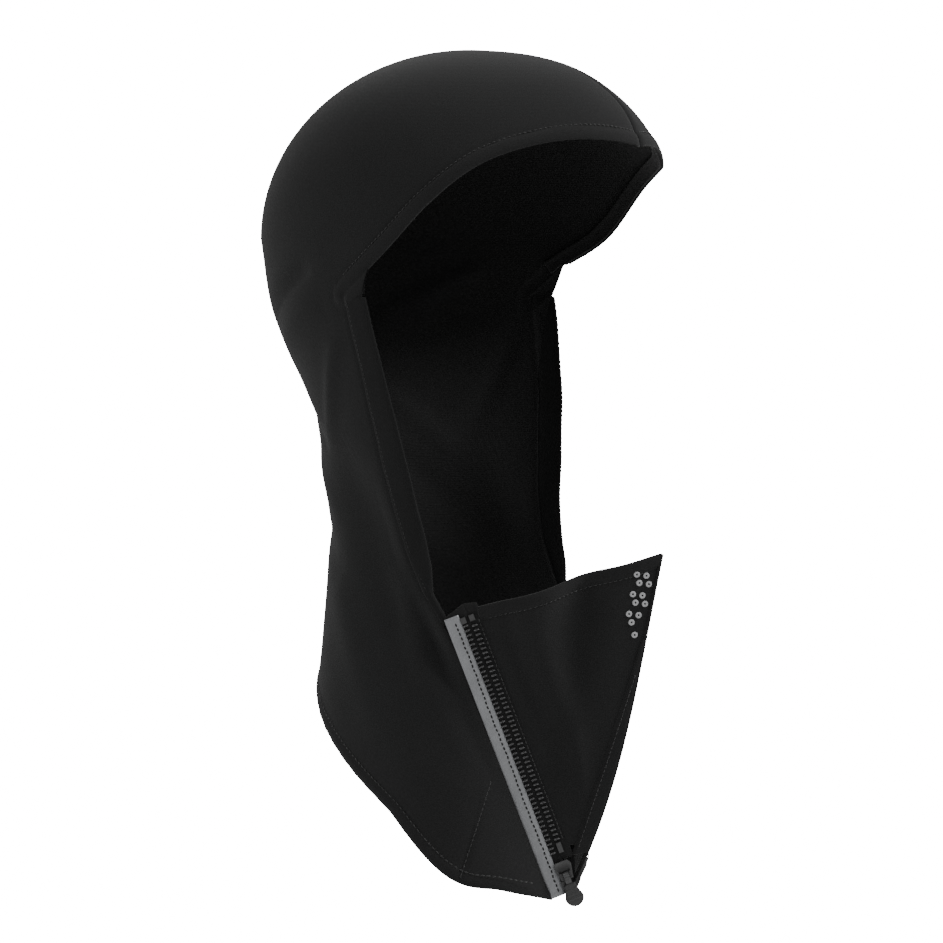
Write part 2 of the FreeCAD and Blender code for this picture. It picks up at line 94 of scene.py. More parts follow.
area_lamp("key_lamp", 22, 40, 1.7, 0.8, 26)
area_lamp("side_lamp", -128, 28, 1.8, 1.0, 8)
area_lamp("fill_lamp", -70, 35, 2.4, 1.4, 7)
area_lamp("back_lamp", 140, 40, 1.9, 1.0, 8)
world = bpy.data.worlds.new("studio")
bpy.context.scene.world = world
world.use_nodes = True
background = world.node_tree.nodes["Background"]
background.inputs["Color"].default_value = (1.0, 1.0, 1.0, 1.0)
background.inputs["Strength"].default_value = SURROUND_LIGHT
seen = world.node_tree.nodes.new("ShaderNodeBackground")
seen.inputs["Strength"].default_value = BACKDROP_LIGHT
ray = world.node_tree.nodes.new("ShaderNodeLightPath")
either = world.node_tree.nodes.new("ShaderNodeMixShader")
world_output = world.node_tree.nodes["World Output"]
for source, target in ((ray.outputs["Is Camera Ray"], either.inputs[0]),
                       (background.outputs[0], either.inputs[1]),
                       (seen.outputs[0], either.inputs[2]),
                       (either.outputs[0], world_output.inputs["Surface"])):
    world.node_tree.links.new(source, target)

# %% Mesh helpers
def new_piece(name, points, faces, material=None):
    """A smooth mesh object from points in millimetres and faces as rows of point numbers."""
    mesh = bpy.data.meshes.new(name)
    places = (np.asarray(points, float).reshape(-1, 3) * MM).tolist()
    mesh.from_pydata(places, [], [list(f) for f in faces])
    mesh.update()
    mesh.polygons.foreach_set("use_smooth", np.ones(len(mesh.polygons), bool))
    piece = bpy.data.objects.new(name, mesh)
    bpy.context.scene.collection.objects.link(piece)
    if material is not None:
        mesh.materials.append(material)
    return piece


def settle(piece, slot, body=None, *nodes):
    """Say which solids a piece replaces and which body carries it; slot is not used."""
    if nodes:
        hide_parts(*nodes)
    if body is not None:
        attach(piece, body)
    return piece


def grid_quads(number):
    """Faces between the rows and columns of a grid of point numbers."""
    corners = [number[:-1, :-1], number[1:, :-1], number[1:, 1:], number[:-1, 1:]]
    return np.stack(corners, -1).reshape(-1, 4)


def band_quads(number, turned=False):
    """Faces round a closed band whose rings are rows; turned ones look the other way."""
    after = np.roll(number, -1, axis=1)
    quads = np.stack([number[:-1], after[:-1], after[1:], number[1:]], -1).reshape(-1, 4)
    return quads[:, [0, 3, 2, 1]] if turned else quads


FLOOR_LEVEL, FLOOR_REACH, FLOOR_LINES = -420.0, 4000.0, 9
floor_u = np.linspace(-FLOOR_REACH, FLOOR_REACH, FLOOR_LINES)
floor_x, floor_y = np.meshgrid(floor_u, floor_u, indexing="ij")
floor_points = np.stack([floor_x, floor_y, np.full_like(floor_x, FLOOR_LEVEL)], -1)
floor_number = np.arange(FLOOR_LINES ** 2).reshape(FLOOR_LINES, FLOOR_LINES)
floor = new_piece("floor", floor_points, grid_quads(floor_number))
print("floor at", FLOOR_LEVEL, "mm")

# %% [markdown]
# ## Finishes
# Stretch fleece is a fine knit with a brushed face: nearly black, very rough, with a soft
# sheen where it turns away, and a faint speckle of fibre ends. The knit is a group, so that
# every cloth can use it at its own scale. It reads Object coordinates, since each piece lies
# in its real place, and gives out a tint and a height only.

# %% The knit group
def socket(group, name, kind, way, value=None):
    made = group.interface.new_socket(name=name, in_out=way, socket_type=kind)
    if value is not None:
        made.default_value = value
    return made


def node(tree, kind, links=(), **values):
    """A node with its settings; links are (input name or number, output socket) pairs."""
    made = tree.nodes.new(kind)
    for key, value in values.items():
        if key.startswith("in_"):
            index = key[3:]
            place = int(index) if index.isdigit() else index.replace("_", " ")
            made.inputs[place].default_value = value
        else:
            setattr(made, key, value)
    for key, output in links:
        tree.links.new(output, made.inputs[key])
    return made


def compute(tree, operation, *inputs, **settings):
    """Output of a maths node: numbers are set and other nodes' outputs are linked, in order."""
    made = node(tree, "ShaderNodeMath", operation=operation, **settings)
    for place, value in zip(made.inputs, inputs):
        if isinstance(value, float):
            place.default_value = value
        else:
            tree.links.new(value, place)
    return made.outputs[0]


def object_place(tree):
    return node(tree, "ShaderNodeTexCoord").outputs["Object"]


def noise(tree, vector, scale, detail, **values):
    return node(tree, "ShaderNodeTexNoise", [("Vector", vector)], in_Scale=scale,
                in_Detail=detail, **values).outputs["Fac"]


def knit_group():
    """Height: fine loops in two crossed waves, and fuzz. Tint: fibre speckle, slow patches."""
    group = bpy.data.node_groups.new("knit", "ShaderNodeTree")
    socket(group, "Loop size", "NodeSocketFloat", "INPUT", 1.0)
    socket(group, "Fuzz", "NodeSocketFloat", "INPUT", 0.5)
    socket(group, "Tint", "NodeSocketFloat", "OUTPUT")
    socket(group, "Height", "NodeSocketFloat", "OUTPUT")
    given = group.nodes.new("NodeGroupInput")
    out = group.nodes.new("NodeGroupOutput")
    size = node(group, "ShaderNodeVectorMath", [(0, object_place(group))], operation="SCALE")
    group.links.new(given.outputs["Loop size"], size.inputs["Scale"])
    vector = size.outputs["Vector"]
    ribs = node(group, "ShaderNodeTexWave", [("Vector", vector)], bands_direction="DIAGONAL",
                in_Scale=620.0, in_Distortion=1.4, in_Detail=2.0, in_Detail_Scale=2.0)
    courses = node(group, "ShaderNodeTexWave", [("Vector", vector)], bands_direction="Z",
                   in_Scale=520.0, in_Distortion=1.0, in_Detail=1.0)
    fuzz = noise(group, vector, 1900.0, 3.0, in_Roughness=0.7)
    patch = noise(group, vector, 28.0, 3.0)
    loops = compute(group, "MULTIPLY", ribs.outputs["Fac"], courses.outputs["Fac"])
    height = compute(group, "MULTIPLY_ADD", fuzz, given.outputs["Fuzz"], loops)
    group.links.new(height, out.inputs["Height"])
    speck = node(group, "ShaderNodeMapRange", [("Value", fuzz)], in_From_Min=0.35,
                 in_From_Max=0.8, in_To_Min=0.0, in_To_Max=0.75)
    tint = compute(group, "MULTIPLY_ADD", patch, 0.35, speck.outputs[0])
    group.links.new(tint, out.inputs["Tint"])
    return group


# Paler raised edges: partly wear, partly painted highlight for lamp glints on edges.
def edge_wear_and_highlight_group():
    """Mask of raised edges: pointiness above its middle, broken up by noise."""
    group = bpy.data.node_groups.new("edge_wear_and_highlight", "ShaderNodeTree")
    socket(group, "Amount", "NodeSocketFloat", "INPUT", 0.5)
    socket(group, "Mask", "NodeSocketFloat", "OUTPUT")
    given = group.nodes.new("NodeGroupInput")
    out = group.nodes.new("NodeGroupOutput")
    shape = node(group, "ShaderNodeNewGeometry")
    rise = node(group, "ShaderNodeMapRange", [("Value", shape.outputs["Pointiness"])],
                in_From_Min=0.5, in_From_Max=0.6)
    grit = noise(group, object_place(group), 900.0, 2.0)
    raised_edge_flecks = compute(group, "MULTIPLY", rise.outputs[0], grit)
    mask = compute(group, "MULTIPLY", raised_edge_flecks, given.outputs["Amount"], use_clamp=True)
    group.links.new(mask, out.inputs["Mask"])
    return group


knit = knit_group()
edge_wear_and_highlight = edge_wear_and_highlight_group()

# %% Cloth and hard finishes
def material(name, rough, **settings):
    made = bpy.data.materials.new(name)
    made.use_nodes = True
    shader = made.node_tree.nodes["Principled BSDF"]
    shader.inputs["Roughness"].default_value = rough
    for key, value in settings.items():
        shader.inputs[key.replace("_", " ")].default_value = value
    return made, made.node_tree, shader


def grey(value):
    return (value, value * 1.005, value * 1.02, 1.0)


def mix_tones(tree, shader, factor, low, high):
    """Base colour mixed from two tones by a factor."""
    mix = node(tree, "ShaderNodeMix", [("Factor", factor)], data_type="RGBA")
    mix.inputs[6].default_value = low
    mix.inputs[7].default_value = high
    tree.links.new(mix.outputs[2], shader.inputs["Base Color"])


def raise_surface(tree, shader, height, strength, depth):
    """Bump from a height, with its depth in millimetres."""
    bump = node(tree, "ShaderNodeBump", [("Height", height)], in_Strength=strength,
                in_Distance=depth * MM)
    tree.links.new(bump.outputs[0], shader.inputs["Normal"])


def cloth(name, dark, light, loop, fuzz, depth, sheen, rough=0.92):
    """Knit cloth: a dark and a light black mixed by the fibre tint, with the loops as bump."""
    made, tree, shader = material(name, rough, Sheen_Weight=sheen, Sheen_Roughness=0.5,
                                  Specular_IOR_Level=0.12)
    weave = node(tree, "ShaderNodeGroup", node_tree=knit, in_Loop_size=loop, in_Fuzz=fuzz)
    mix_tones(tree, shader, weave.outputs["Tint"], grey(dark), grey(light))
    raise_surface(tree, shader, weave.outputs["Height"], 0.5, depth)
    return made


def hard(name, tone, rough, worn=0.5, metallic=0.0, light=3.0):
    """Moulded or enamelled finish: one tone, paler on raised edges as wear and painted highlight.
    """
    made, tree, shader = material(name, rough, Metallic=metallic)
    # worn sets how much raised edges are lightened, as wear and as painted highlight.
    edge_light_and_wear = node(tree, "ShaderNodeGroup", node_tree=edge_wear_and_highlight, in_Amount=worn)
    mix_tones(tree, shader, edge_light_and_wear.outputs["Mask"], grey(tone), grey(min(tone * light, 0.9)))
    raise_surface(tree, shader, noise(tree, object_place(tree), 2200.0, 2.0), 0.25, 0.05)
    return made


fleece = cloth("black_stretch_fleece", 0.0085, 0.020, 1.0, 0.9, 0.10, 0.06)
trim = cloth("black_binding_knit", 0.007, 0.016, 1.3, 0.6, 0.12, 0.05)
brushed = cloth("brushed_fleece_inside", 0.009, 0.021, 0.6, 1.6, 0.25, 0.12)
woven = cloth("woven_zip_tape", 0.007, 0.016, 1.8, 0.3, 0.12, 0.08, rough=0.8)
thread = cloth("sewing_thread", 0.016, 0.038, 3.0, 0.4, 0.05, 0.25, rough=0.7)
# On the zip teeth the paler edges are a painted highlight for the coil's bright ends.
chain_plastic = hard("zip_chain_plastic", 0.009, 0.36, worn=0.9, light=6.0)
enamel = hard("black_enamel", 0.012, 0.28, worn=0.8, metallic=0.3, light=9.0)
pull_plastic = hard("moulded_pull", 0.013, 0.42, worn=0.7, light=4.0)
vent_film = hard("grey_vent_film", 0.30, 0.5, worn=0.3, light=1.4)
# The pale grey of the loop thread is a painted highlight: the bright dashes of the coil's loops.
loop_thread_painted_highlight = cloth("pale_loop_thread_painted_highlight", 0.06, 0.16, 3.0, 0.4, 0.05, 0.2, rough=0.6)
print("materials:", len(bpy.data.materials))

# %% Reflective tape
# Reflective tape is grey cloth coated with tiny glass beads: a fine even sparkle, half metallic.
reflective, tree, shader = material("grey_reflective_tape", 0.42, Metallic=0.25,
                                    Specular_IOR_Level=0.6)
place = object_place(tree)
beads = node(tree, "ShaderNodeTexVoronoi", [("Vector", place)], in_Scale=4200.0)
mixed = compute(tree, "MULTIPLY_ADD", beads.outputs["Distance"], 0.5, noise(tree, place, 90.0, 5.0))
mix_tones(tree, shader, mixed, (0.125, 0.128, 0.134, 1.0), (0.215, 0.22, 0.228, 1.0))
raise_surface(tree, shader, beads.outputs["Distance"], 0.35, 0.04)
backdrop, tree, shader = material("pale_floor", 0.8, Base_Color=(0.9, 0.9, 0.9, 1.0),
                                  Emission_Strength=BACKDROP_LIGHT)
straight = node(tree, "ShaderNodeLightPath")
tree.links.new(straight.outputs["Is Camera Ray"], shader.inputs["Emission Color"])
floor.data.materials.append(backdrop)

# %% [markdown]
# ## The head's surface
# The hood follows a head and neck: an ellipsoid above the widest level, and slices below it
# whose width and depths change smoothly. The stations, edges and zip line are the pattern,
# the same ones that the model was cut to, so every piece falls where its solid lies.

# %% Pattern sizes
HEAD_WIDTH, HEAD_DEPTH, HEAD_RISE = 156.0, 198.0, 84.0
FABRIC = 1.2
NECK_HALF_WIDTH, NECK_BACK, NECK_FRONT = 57.0, 65.0, 54.0
COLLAR_HALF_WIDTH, COLLAR_BACK = 61.0, 73.0
COLLAR_DROP, NAPE_DROP, BROW_RISE = 290.0, 188.0, 41.0
TEMPLE = (100.0, -25.0)
STATIONS = np.array([
    (0.0, HEAD_WIDTH / 2, HEAD_DEPTH / 2, HEAD_DEPTH / 2),
    (-34.0, HEAD_WIDTH / 2 - 3.0, HEAD_DEPTH / 2 - 9.0, HEAD_DEPTH / 2 - 7.0),
    (-69.0, (HEAD_WIDTH / 2 + NECK_HALF_WIDTH) / 2 + 2.0, (HEAD_DEPTH / 2 + NECK_FRONT) / 2 - 4.0,
     NECK_BACK + 8.5),
    (-96.0, NECK_HALF_WIDTH + 6.5, NECK_FRONT + 6.0, NECK_BACK + 0.5),
    (-130.0, NECK_HALF_WIDTH, NECK_FRONT, NECK_BACK),
    (-178.0, NECK_HALF_WIDTH + 0.5, NECK_FRONT, NECK_BACK + 3.6),
    (-215.0, COLLAR_HALF_WIDTH - 2.0, NECK_FRONT, COLLAR_BACK),
    (-COLLAR_DROP, COLLAR_HALF_WIDTH, NECK_FRONT, COLLAR_BACK)])
BROW_EDGE = ((0.4, BROW_RISE), (24.0, BROW_RISE + 2.0), (39.0, BROW_RISE + 0.8),
             (53.0, BROW_RISE - 4.0), (63.5, BROW_RISE - 12.0), (74.0, BROW_RISE - 26.0),
             (85.0, BROW_RISE - 45.0), TEMPLE)
FACING_SEAM = (TEMPLE, (97.0, -64.0), (95.0, -89.0), (91.5, -116.0), (86.0, -136.0),
               (76.0, -157.0))
FACE_EDGE = ((93.0, TEMPLE[1] - 1.5), (88.4, -62.0), (84.0, -89.0), (79.5, -116.0),
             (74.5, -138.0), (69.0, -157.0))
COLLAR_HEM = ((179.6, -NAPE_DROP), (146.0, -NAPE_DROP - 15.0), (100.0, 46.0 - COLLAR_DROP),
              (62.0, 9.0 - COLLAR_DROP), (35.0, 2.0 - COLLAR_DROP))
ZIP_TOP = np.array([-50.0, -31.0, -164.0])
ZIP_BOTTOM = np.array([-5.0, -56.0, -284.0])
FRONT_TOP = np.array([0.0, -103.0, -139.0])
FRONT_BOTTOM = np.array([0.0, -52.0, -291.0])
ZIP_LENGTH = 136.5
CHAIN_START, CHAIN_END_OUTER, CHAIN_END_INNER = 6.0, 120.0, 116.0
TOOTH_PITCH, TOOTH_HALF_GAP, TOOTH_REACH = 2.2, 0.8, 2.4
PANEL_EDGE, MASK_EDGE, MASK_BULGE = 9.4, 5.6, 5.0
SEAM_BOW = 7.6
HEM_WIDTH, COLLAR_HEM_WIDTH = 6.5, 5.4
MIDDLE_OFFSET = -0.02

# %% The surface in numpy
def unit(v):
    return v / np.linalg.norm(v, axis=-1, keepdims=True)


def hermite(keys, values, at):
    """Smooth curve through values at rising keys: cubic spans with slopes taken from neighbours."""
    keys, values, at = np.asarray(keys, float), np.asarray(values, float), np.asarray(at, float)
    last = len(keys) - 1
    each = np.arange(last + 1)
    low, high = np.maximum(each - 1, 0), np.minimum(each + 1, last)
    slope = (values[high] - values[low]) / (keys[high] - keys[low])
    span = np.clip(np.searchsorted(keys, at, side="left") - 1, 0, last - 1)
    width = keys[span + 1] - keys[span]
    t = (at - keys[span]) / width
    rise = values[span + 1] - values[span]
    start, end = slope[span] * width, slope[span + 1] * width
    square, cube = 3 * rise - 2 * start - end, start + end - 2 * rise
    return values[span] + t * start + t * t * square + t ** 3 * cube


def section(z):
    """Half width, front depth and back depth at heights; the dome shrinks as an ellipse does."""
    z = np.asarray(z, float)
    shrink = np.sqrt(np.clip(1 - (np.maximum(z, 0) / HEAD_RISE) ** 2, 0, None))
    depth = np.maximum(-z, 0)
    return tuple(hermite(-STATIONS[:, 0], STATIONS[:, k], depth) * shrink for k in (1, 2, 3))


def on_body(angle, z):
    """Points of the right half at angles from the front and heights."""
    width, front, back = section(z)
    turn = np.radians(angle)
    depth = np.where(np.asarray(angle) < 90, front, back)
    point = np.broadcast_arrays(-width * np.sin(turn), -depth * np.cos(turn), z)
    return np.stack(point, -1).astype(float)


def to_body(p):
    """Points moved onto the body: radially above the origin, level with themselves below it."""
    above = p[..., 2] > 0
    width, front, back = section(np.minimum(p[..., 2], 0))
    depth = np.where(p[..., 1] < 0, front, back)
    size = ((p[..., 0] / width) ** 2 + (p[..., 1] / depth) ** 2
            + np.where(above, (p[..., 2] / HEAD_RISE) ** 2, 0))
    scale = 1 / np.sqrt(size)
    height = p[..., 2] * np.where(above, scale, 1)
    return np.stack([p[..., 0] * scale, p[..., 1] * scale, height], -1)


def body_normals(p):
    """Normals of the plain body: the gradient of its ellipses, and of the dome above z = 0."""
    width, front, back = section(np.minimum(p[..., 2], 0))
    depth = np.where(p[..., 1] < 0, front, back)
    rise = np.maximum(p[..., 2], 0) / HEAD_RISE ** 2
    return unit(np.stack([p[..., 0] / width ** 2, p[..., 1] / depth ** 2, rise], -1))


def along(points, t):
    """Angles and heights at shares t of a list of (angle, height) points."""
    keys = np.linspace(0, 1, len(points))
    return tuple(hermite(keys, [p[k] for p in points], t) for k in (0, 1))


ZIP_DOWN = unit(ZIP_BOTTOM - ZIP_TOP)
LEVEL_ACROSS = np.array([0.64, -0.77, 0.0])
ZIP_ACROSS = unit(LEVEL_ACROSS - ZIP_DOWN * np.dot(LEVEL_ACROSS, ZIP_DOWN))
ZIP_OUT = np.cross(ZIP_DOWN, ZIP_ACROSS)


def zip_point(down, across, out=0.0):
    """Points in the zip's straight frame: down it, across towards the mask, and off its plane."""
    down, across, out = np.broadcast_arrays(np.asarray(down, float), across, out)
    return (ZIP_TOP + down[..., None] * ZIP_DOWN + across[..., None] * ZIP_ACROSS
            + out[..., None] * ZIP_OUT)


BROW_ANGLE = math.asin(BROW_RISE / HEAD_RISE)


def middle_seam(p, x):
    """Seam over the crown: a dome arc for the first half, then down the back of the neck."""
    p, x = np.broadcast_arrays(np.asarray(p, float), x)
    turn = BROW_ANGLE + (math.pi - BROW_ANGLE) * np.clip(p / 0.5, 0, 1)
    dome = np.stack([x, -HEAD_DEPTH / 2 * np.cos(turn), HEAD_RISE * np.sin(turn) + 0.001], -1)
    z = -NAPE_DROP * np.clip((p - 0.5) / 0.5, 0, 1)
    back = np.stack([x, section(z)[2], z - 0.001], -1)
    return to_body(np.where((p < 0.5)[..., None], dome, back))


def front_edge(p):
    """Front edge of the side panel: the facing's seam, then a straight run beside the zip."""
    p = np.asarray(p, float)
    beside_face = on_body(*along(FACING_SEAM, np.clip(p / 0.5, 0, 1)))
    share = np.clip((p - 0.5) / 0.5, 0, 1)
    straight = zip_point(2.0 + (ZIP_LENGTH - 2.0) * share, -PANEL_EDGE)
    fade = np.clip(1 - share / 0.15, 0, None)[..., None] ** 2
    beside_zip = straight + (on_body(*FACING_SEAM[-1]) - zip_point(2.0, -PANEL_EDGE)) * fade
    return np.where((p < 0.5)[..., None], beside_face, beside_zip)


def side_point(p, q):
    """Right panel blended between its edges, laid on the body; p brow to hem, q crown to front."""
    p, q = np.broadcast_arrays(np.asarray(p, float), q)
    k = q[..., None]
    end = front_edge(1.0)
    front = front_edge(p ** 1.85)
    chord = middle_seam(p, MIDDLE_OFFSET) * (1 - k) + front * k
    brow = on_body(*along(BROW_EDGE, q))
    brow = brow - (middle_seam(0.0, MIDDLE_OFFSET) * (1 - k) + front_edge(0.0) * k)
    flat_end = to_body(end)
    width, depth, _ = section(flat_end[2])
    angle = math.degrees(math.atan2(-flat_end[0] / width, -flat_end[1] / depth))
    hem = on_body(*along(COLLAR_HEM + ((angle, float(flat_end[2])),), q))
    hem = hem - (middle_seam(1.0, MIDDLE_OFFSET) * (1 - k) + flat_end * k)
    point = to_body(chord + brow * (1 - p[..., None] ** 1.4) ** 4 + hem * p[..., None] ** 2.8)
    pull = np.clip((k - 0.6) / 0.4, 0, None) ** 2
    return point + (front - to_body(front)) * pull


def front_seam(t):
    """Centre-front seam: the hinge line bowed forward, by most a little below its middle."""
    straight = FRONT_TOP + (FRONT_BOTTOM - FRONT_TOP) * t[..., None]
    bow = np.clip(np.sin(np.pi * np.clip(t, 0, 1) ** 1.5), 0, 1) ** 0.75
    return straight + np.array([0.0, -SEAM_BOW, 0.0]) * bow[..., None]


def mask_point(t, s, edge=MASK_EDGE, reach=CHAIN_END_INNER, margin=0.0):
    """Mask panel, bulged in its middle: t runs down beside the zip, s across to the seam."""
    t, s = np.broadcast_arrays(np.asarray(t, float), s)
    side = zip_point(1.0 + (reach - 1.0) * t, edge)
    front = front_seam(t * reach / ZIP_LENGTH * 0.985)
    near = front + unit(side - front) * margin
    bulge = MASK_BULGE * np.sin(np.pi * s) * np.clip(1 - t, 0, 1) ** 1.5
    return side + (near - side) * s[..., None] + ZIP_OUT * bulge[..., None]


def ease(t):
    """0 below 0, 1 above 1, smooth between: 3t^2 - 2t^3."""
    t = np.clip(t, 0, 1)
    return t * t * (3 - 2 * t)


def worn(p):
    """The hood as worn: its seam drifts to the wearer's left, where brow and front hem shift."""
    x, y, z = np.moveaxis(p, -1, 0)
    front = ease((60 - y) / 100) * ease((z + 30) / 45)
    drift = (5 + 8 * ease((z - 41) / 22)) * ease((x + 45) / 45) * ease((50 - x) / 50)
    drop = (0.7 + 3.0 * ease((x - 5) / 22) + 9.5 * ease((x - 20) / 22)) * ease((x + 12) / 14)
    shift = [drift * front, np.zeros_like(x), -drop * front * ease((30 - y) / 60)]
    full = to_body(p + np.stack(shift, -1))
    forward_left = 0.559 * full[..., 0] - 0.829 * full[..., 1]
    swell = 3.4 * ease((forward_left - 5) / 50) * ease((full[..., 2] - 10) / 50)
    full = full + unit(full) * swell[..., None]
    lift = 9 * ease((-z - 255) / 33) * ease((x - 5) / 15) * ease((20 - y) / 50)
    tuck = -5 * ease((-z - 245) / 20) * ease((x - 12) / 20) * ease((10 - y) / 30)
    lifted = p + np.stack([tuck, 0 * x, lift], -1)
    return np.where(z[..., None] > -10, full, lifted)


print("zip down", ZIP_DOWN.round(3), "panel corner", side_point(1.0, 1.0).round(1))

# %% [markdown]
# ## Cloth as closed sheets
# Each cloth piece starts as a grid of points. The inner face lies a fabric thickness below
# the outer one, and a rounded rim closes the edge, so that the piece is a real sheet with a
# turned edge rather than a paper-thin face.

# %% Sheet builder
RIM_BULGE = 0.42
CHUNK = 4096


def circles(a, b, steps):
    """Spokes round a circle in the plane of two directions, one circle per pair."""
    turn = np.linspace(0, 2 * np.pi, steps, endpoint=False)
    return a[:, None] * np.cos(turn)[None, :, None] + b[:, None] * np.sin(turn)[None, :, None]


def mirror(grid):
    return grid * np.array([-1.0, 1.0, 1.0])


def laid_on(grid, side):
    """A right-hand grid as worn: on the right for side 1, mirrored to the left for side -1."""
    return worn(grid if side > 0 else mirror(grid))


def grid_normals(grid):
    """Unit cross product of the two grid directions."""
    return unit(np.cross(np.gradient(grid, axis=0), np.gradient(grid, axis=1)))


def oriented(grid, values=None):
    """The grid, and its values if given, with columns reversed if it would face the body."""
    row, column = grid.shape[0] // 2, grid.shape[1] // 2
    middle = grid[row, column]
    outward = np.array([middle[0], middle[1], max(middle[2], 0.0)])
    step = 1 if np.dot(grid_normals(grid)[row, column], outward) > 0 else -1
    return grid[:, ::step] if values is None else (grid[:, ::step], values[:, ::step])


def sheet_mesh(name, grid, finish, thick=FABRIC, lift=0.0, lining=None, n=None):
    """Closed sheet: outer grid, inner grid a thickness below, and a rim bulging from both."""
    rows, columns = grid.shape[:2]
    n = grid_normals(grid) if n is None else n
    lift, thick = (np.broadcast_to(np.asarray(v, float), (rows, columns))[..., None]
                   for v in (lift, thick))
    outer = grid + n * lift
    inner = outer - n * thick
    count = rows * columns
    number = np.arange(count).reshape(rows, columns)
    quads = grid_quads(number)
    loop = np.concatenate([number[0, :-1], number[:-1, -1], number[-1, :0:-1], number[:0:-1, 0]])
    i, j = loop // columns, loop % columns
    away = grid[i, j] - grid[np.clip(i, 1, rows - 2), np.clip(j, 1, columns - 2)]
    middle = (outer[i, j] + inner[i, j]) / 2 + unit(away) * thick[i, j] * RIM_BULGE
    ring = 2 * count + np.arange(len(loop))
    after = np.roll(np.arange(len(loop)), -1)
    top_rim = np.stack([loop, loop[after], ring[after], ring], -1)
    low_rim = np.stack([ring, ring[after], loop[after] + count, loop + count], -1)
    faces = np.concatenate([quads, quads[:, ::-1] + count, top_rim, low_rim])
    points = np.concatenate([outer.reshape(-1, 3), inner.reshape(-1, 3), middle])
    piece = new_piece(name, points, faces, finish)
    if lining is not None:
        piece.data.materials.append(lining)
        inside = (np.arange(len(faces)) // len(quads) == 1).astype(np.int32)
        piece.data.polygons.foreach_set("material_index", inside)
    return piece


def distance(points, path):
    """Distance from points to a path, and the share of the path at its nearest sample."""
    flat = points.reshape(-1, 3)
    gap, share = np.empty(len(flat)), np.empty(len(flat))
    for start in range(0, len(flat), CHUNK):
        part = slice(start, start + CHUNK)
        apart = np.linalg.norm(flat[part, None] - path[None], axis=-1)
        gap[part] = apart.min(1)
        share[part] = apart.argmin(1) / (len(path) - 1)
    return gap.reshape(points.shape[:-1]), share.reshape(points.shape[:-1])


# %% [markdown]
# ## Folds
# Fleece pulled over a head is smooth where it is stretched and folds where there is too much
# of it: under the back of the head, and from the nape forward to the zip. A fold is a path on
# the neck with a height and a width; the cloth moves along its normal by a bell curve of the
# distance from that path, fading at the path's ends.

# %% Fold list
# (points as (angle, height), height in mm, width in mm)
FOLDS = (
    (((112, -12), (124, -20), (149, -37)), -2.4, 4.5),
    (((108, -30), (122, -36), (146, -52)), 1.6, 7.0),
    (((105, -44), (110, -56), (119, -78), (128, -92)), 1.8, 5.0),
    (((119, -88), (110, -110), (89, -160), (63, -205), (39, -242)), -3.4, 13.0),
    (((96, -140), (86, -158), (79, -183), (62, -214), (48, -236)), 2.8, 6.5),
    (((80, -158), (72, -168), (68, -182), (60, -200)), -3.2, 5.5),
    (((168, -62), (150, -74), (126, -98)), -1.6, 6.0),
    (((172, -92), (150, -100), (122, -126)), 1.5, 7.0),
    (((174, -118), (150, -128), (120, -150)), -1.5, 8.0),
    (((130, -150), (112, -180), (92, -226)), 1.6, 10.0),
)


def fold_path(points, count=60):
    return on_body(*along(points, np.linspace(0, 1, count)))


def folds(points, strength=1.0):
    """Sum over the folds of height * bell(distance / width) * an arch along the path."""
    total = np.zeros(points.shape[:-1])
    for line, height, width in FOLDS:
        gap, share = distance(points, fold_path(line))
        arch = np.sin(np.pi * np.clip(share, 0.02, 0.98)) ** 0.6
        total += height * strength * np.exp(-(gap / width) ** 2) * arch
    x, y, z = np.moveaxis(points, -1, 0)
    drift = np.sin(x / 17 + z / 23) * np.sin(y / 21 - z / 31)
    drift = drift + 0.5 * np.sin(x / 9 - y / 13 + z / 41)
    return total + 0.35 * drift * np.clip(-z / 80, 0, 1)


GORE = ((43, -240), (50, -262), (57, -283))
BROW_LINE = on_body(*along(BROW_EDGE, np.linspace(0, 1, 300)))
HEM_LINE = side_point(1.0, np.linspace(0, 1, 300))
FACING_LINE = on_body(*along(FACING_SEAM, np.linspace(0, 1, 300)))
FRONT_LINE = front_edge(np.linspace(0, 1, 400))
MIDDLE_LINE = middle_seam(np.linspace(0, 1, 400), 0.0)
# (line, depth in mm, width in mm) of the dips that the seams pull into the cloth
SEAM_DIPS = ((MIDDLE_LINE, 0.8, 1.6), (FACING_LINE, 0.5, 1.4), (fold_path(GORE), 0.9, 1.5))


def hem_profile(gap, width=HEM_WIDTH, rise=0.75):
    """Turned hem: a pillow of double cloth up to the stitches, which pull a groove into it."""
    inside = np.clip(gap / width, 0, 1)
    pillow = rise * (1 - np.abs(2 * inside - 1) ** 3.0) * (gap < width)
    return pillow - 0.35 * np.exp(-((gap - width) / 0.8) ** 2)


def hood_relief(points, side):
    """Everything that stands off the plain hood, in millimetres along its normal."""
    relief = folds(points, 1.0 if side > 0 else 0.8) * ease(distance(points, FRONT_LINE)[0] / 9)
    relief += hem_profile(distance(points, BROW_LINE)[0])
    relief += hem_profile(distance(points, HEM_LINE)[0], COLLAR_HEM_WIDTH, 0.6)
    for line, depth, width in SEAM_DIPS:
        relief -= depth * np.exp(-(distance(points, line)[0] / width) ** 2)
    return relief


# %% [markdown]
# ## The side panels
# Two shaped panels make the hood: each runs from the brow over the crown and down the neck.
# They meet in a seam along the middle, where the cloth dips into the stitching.

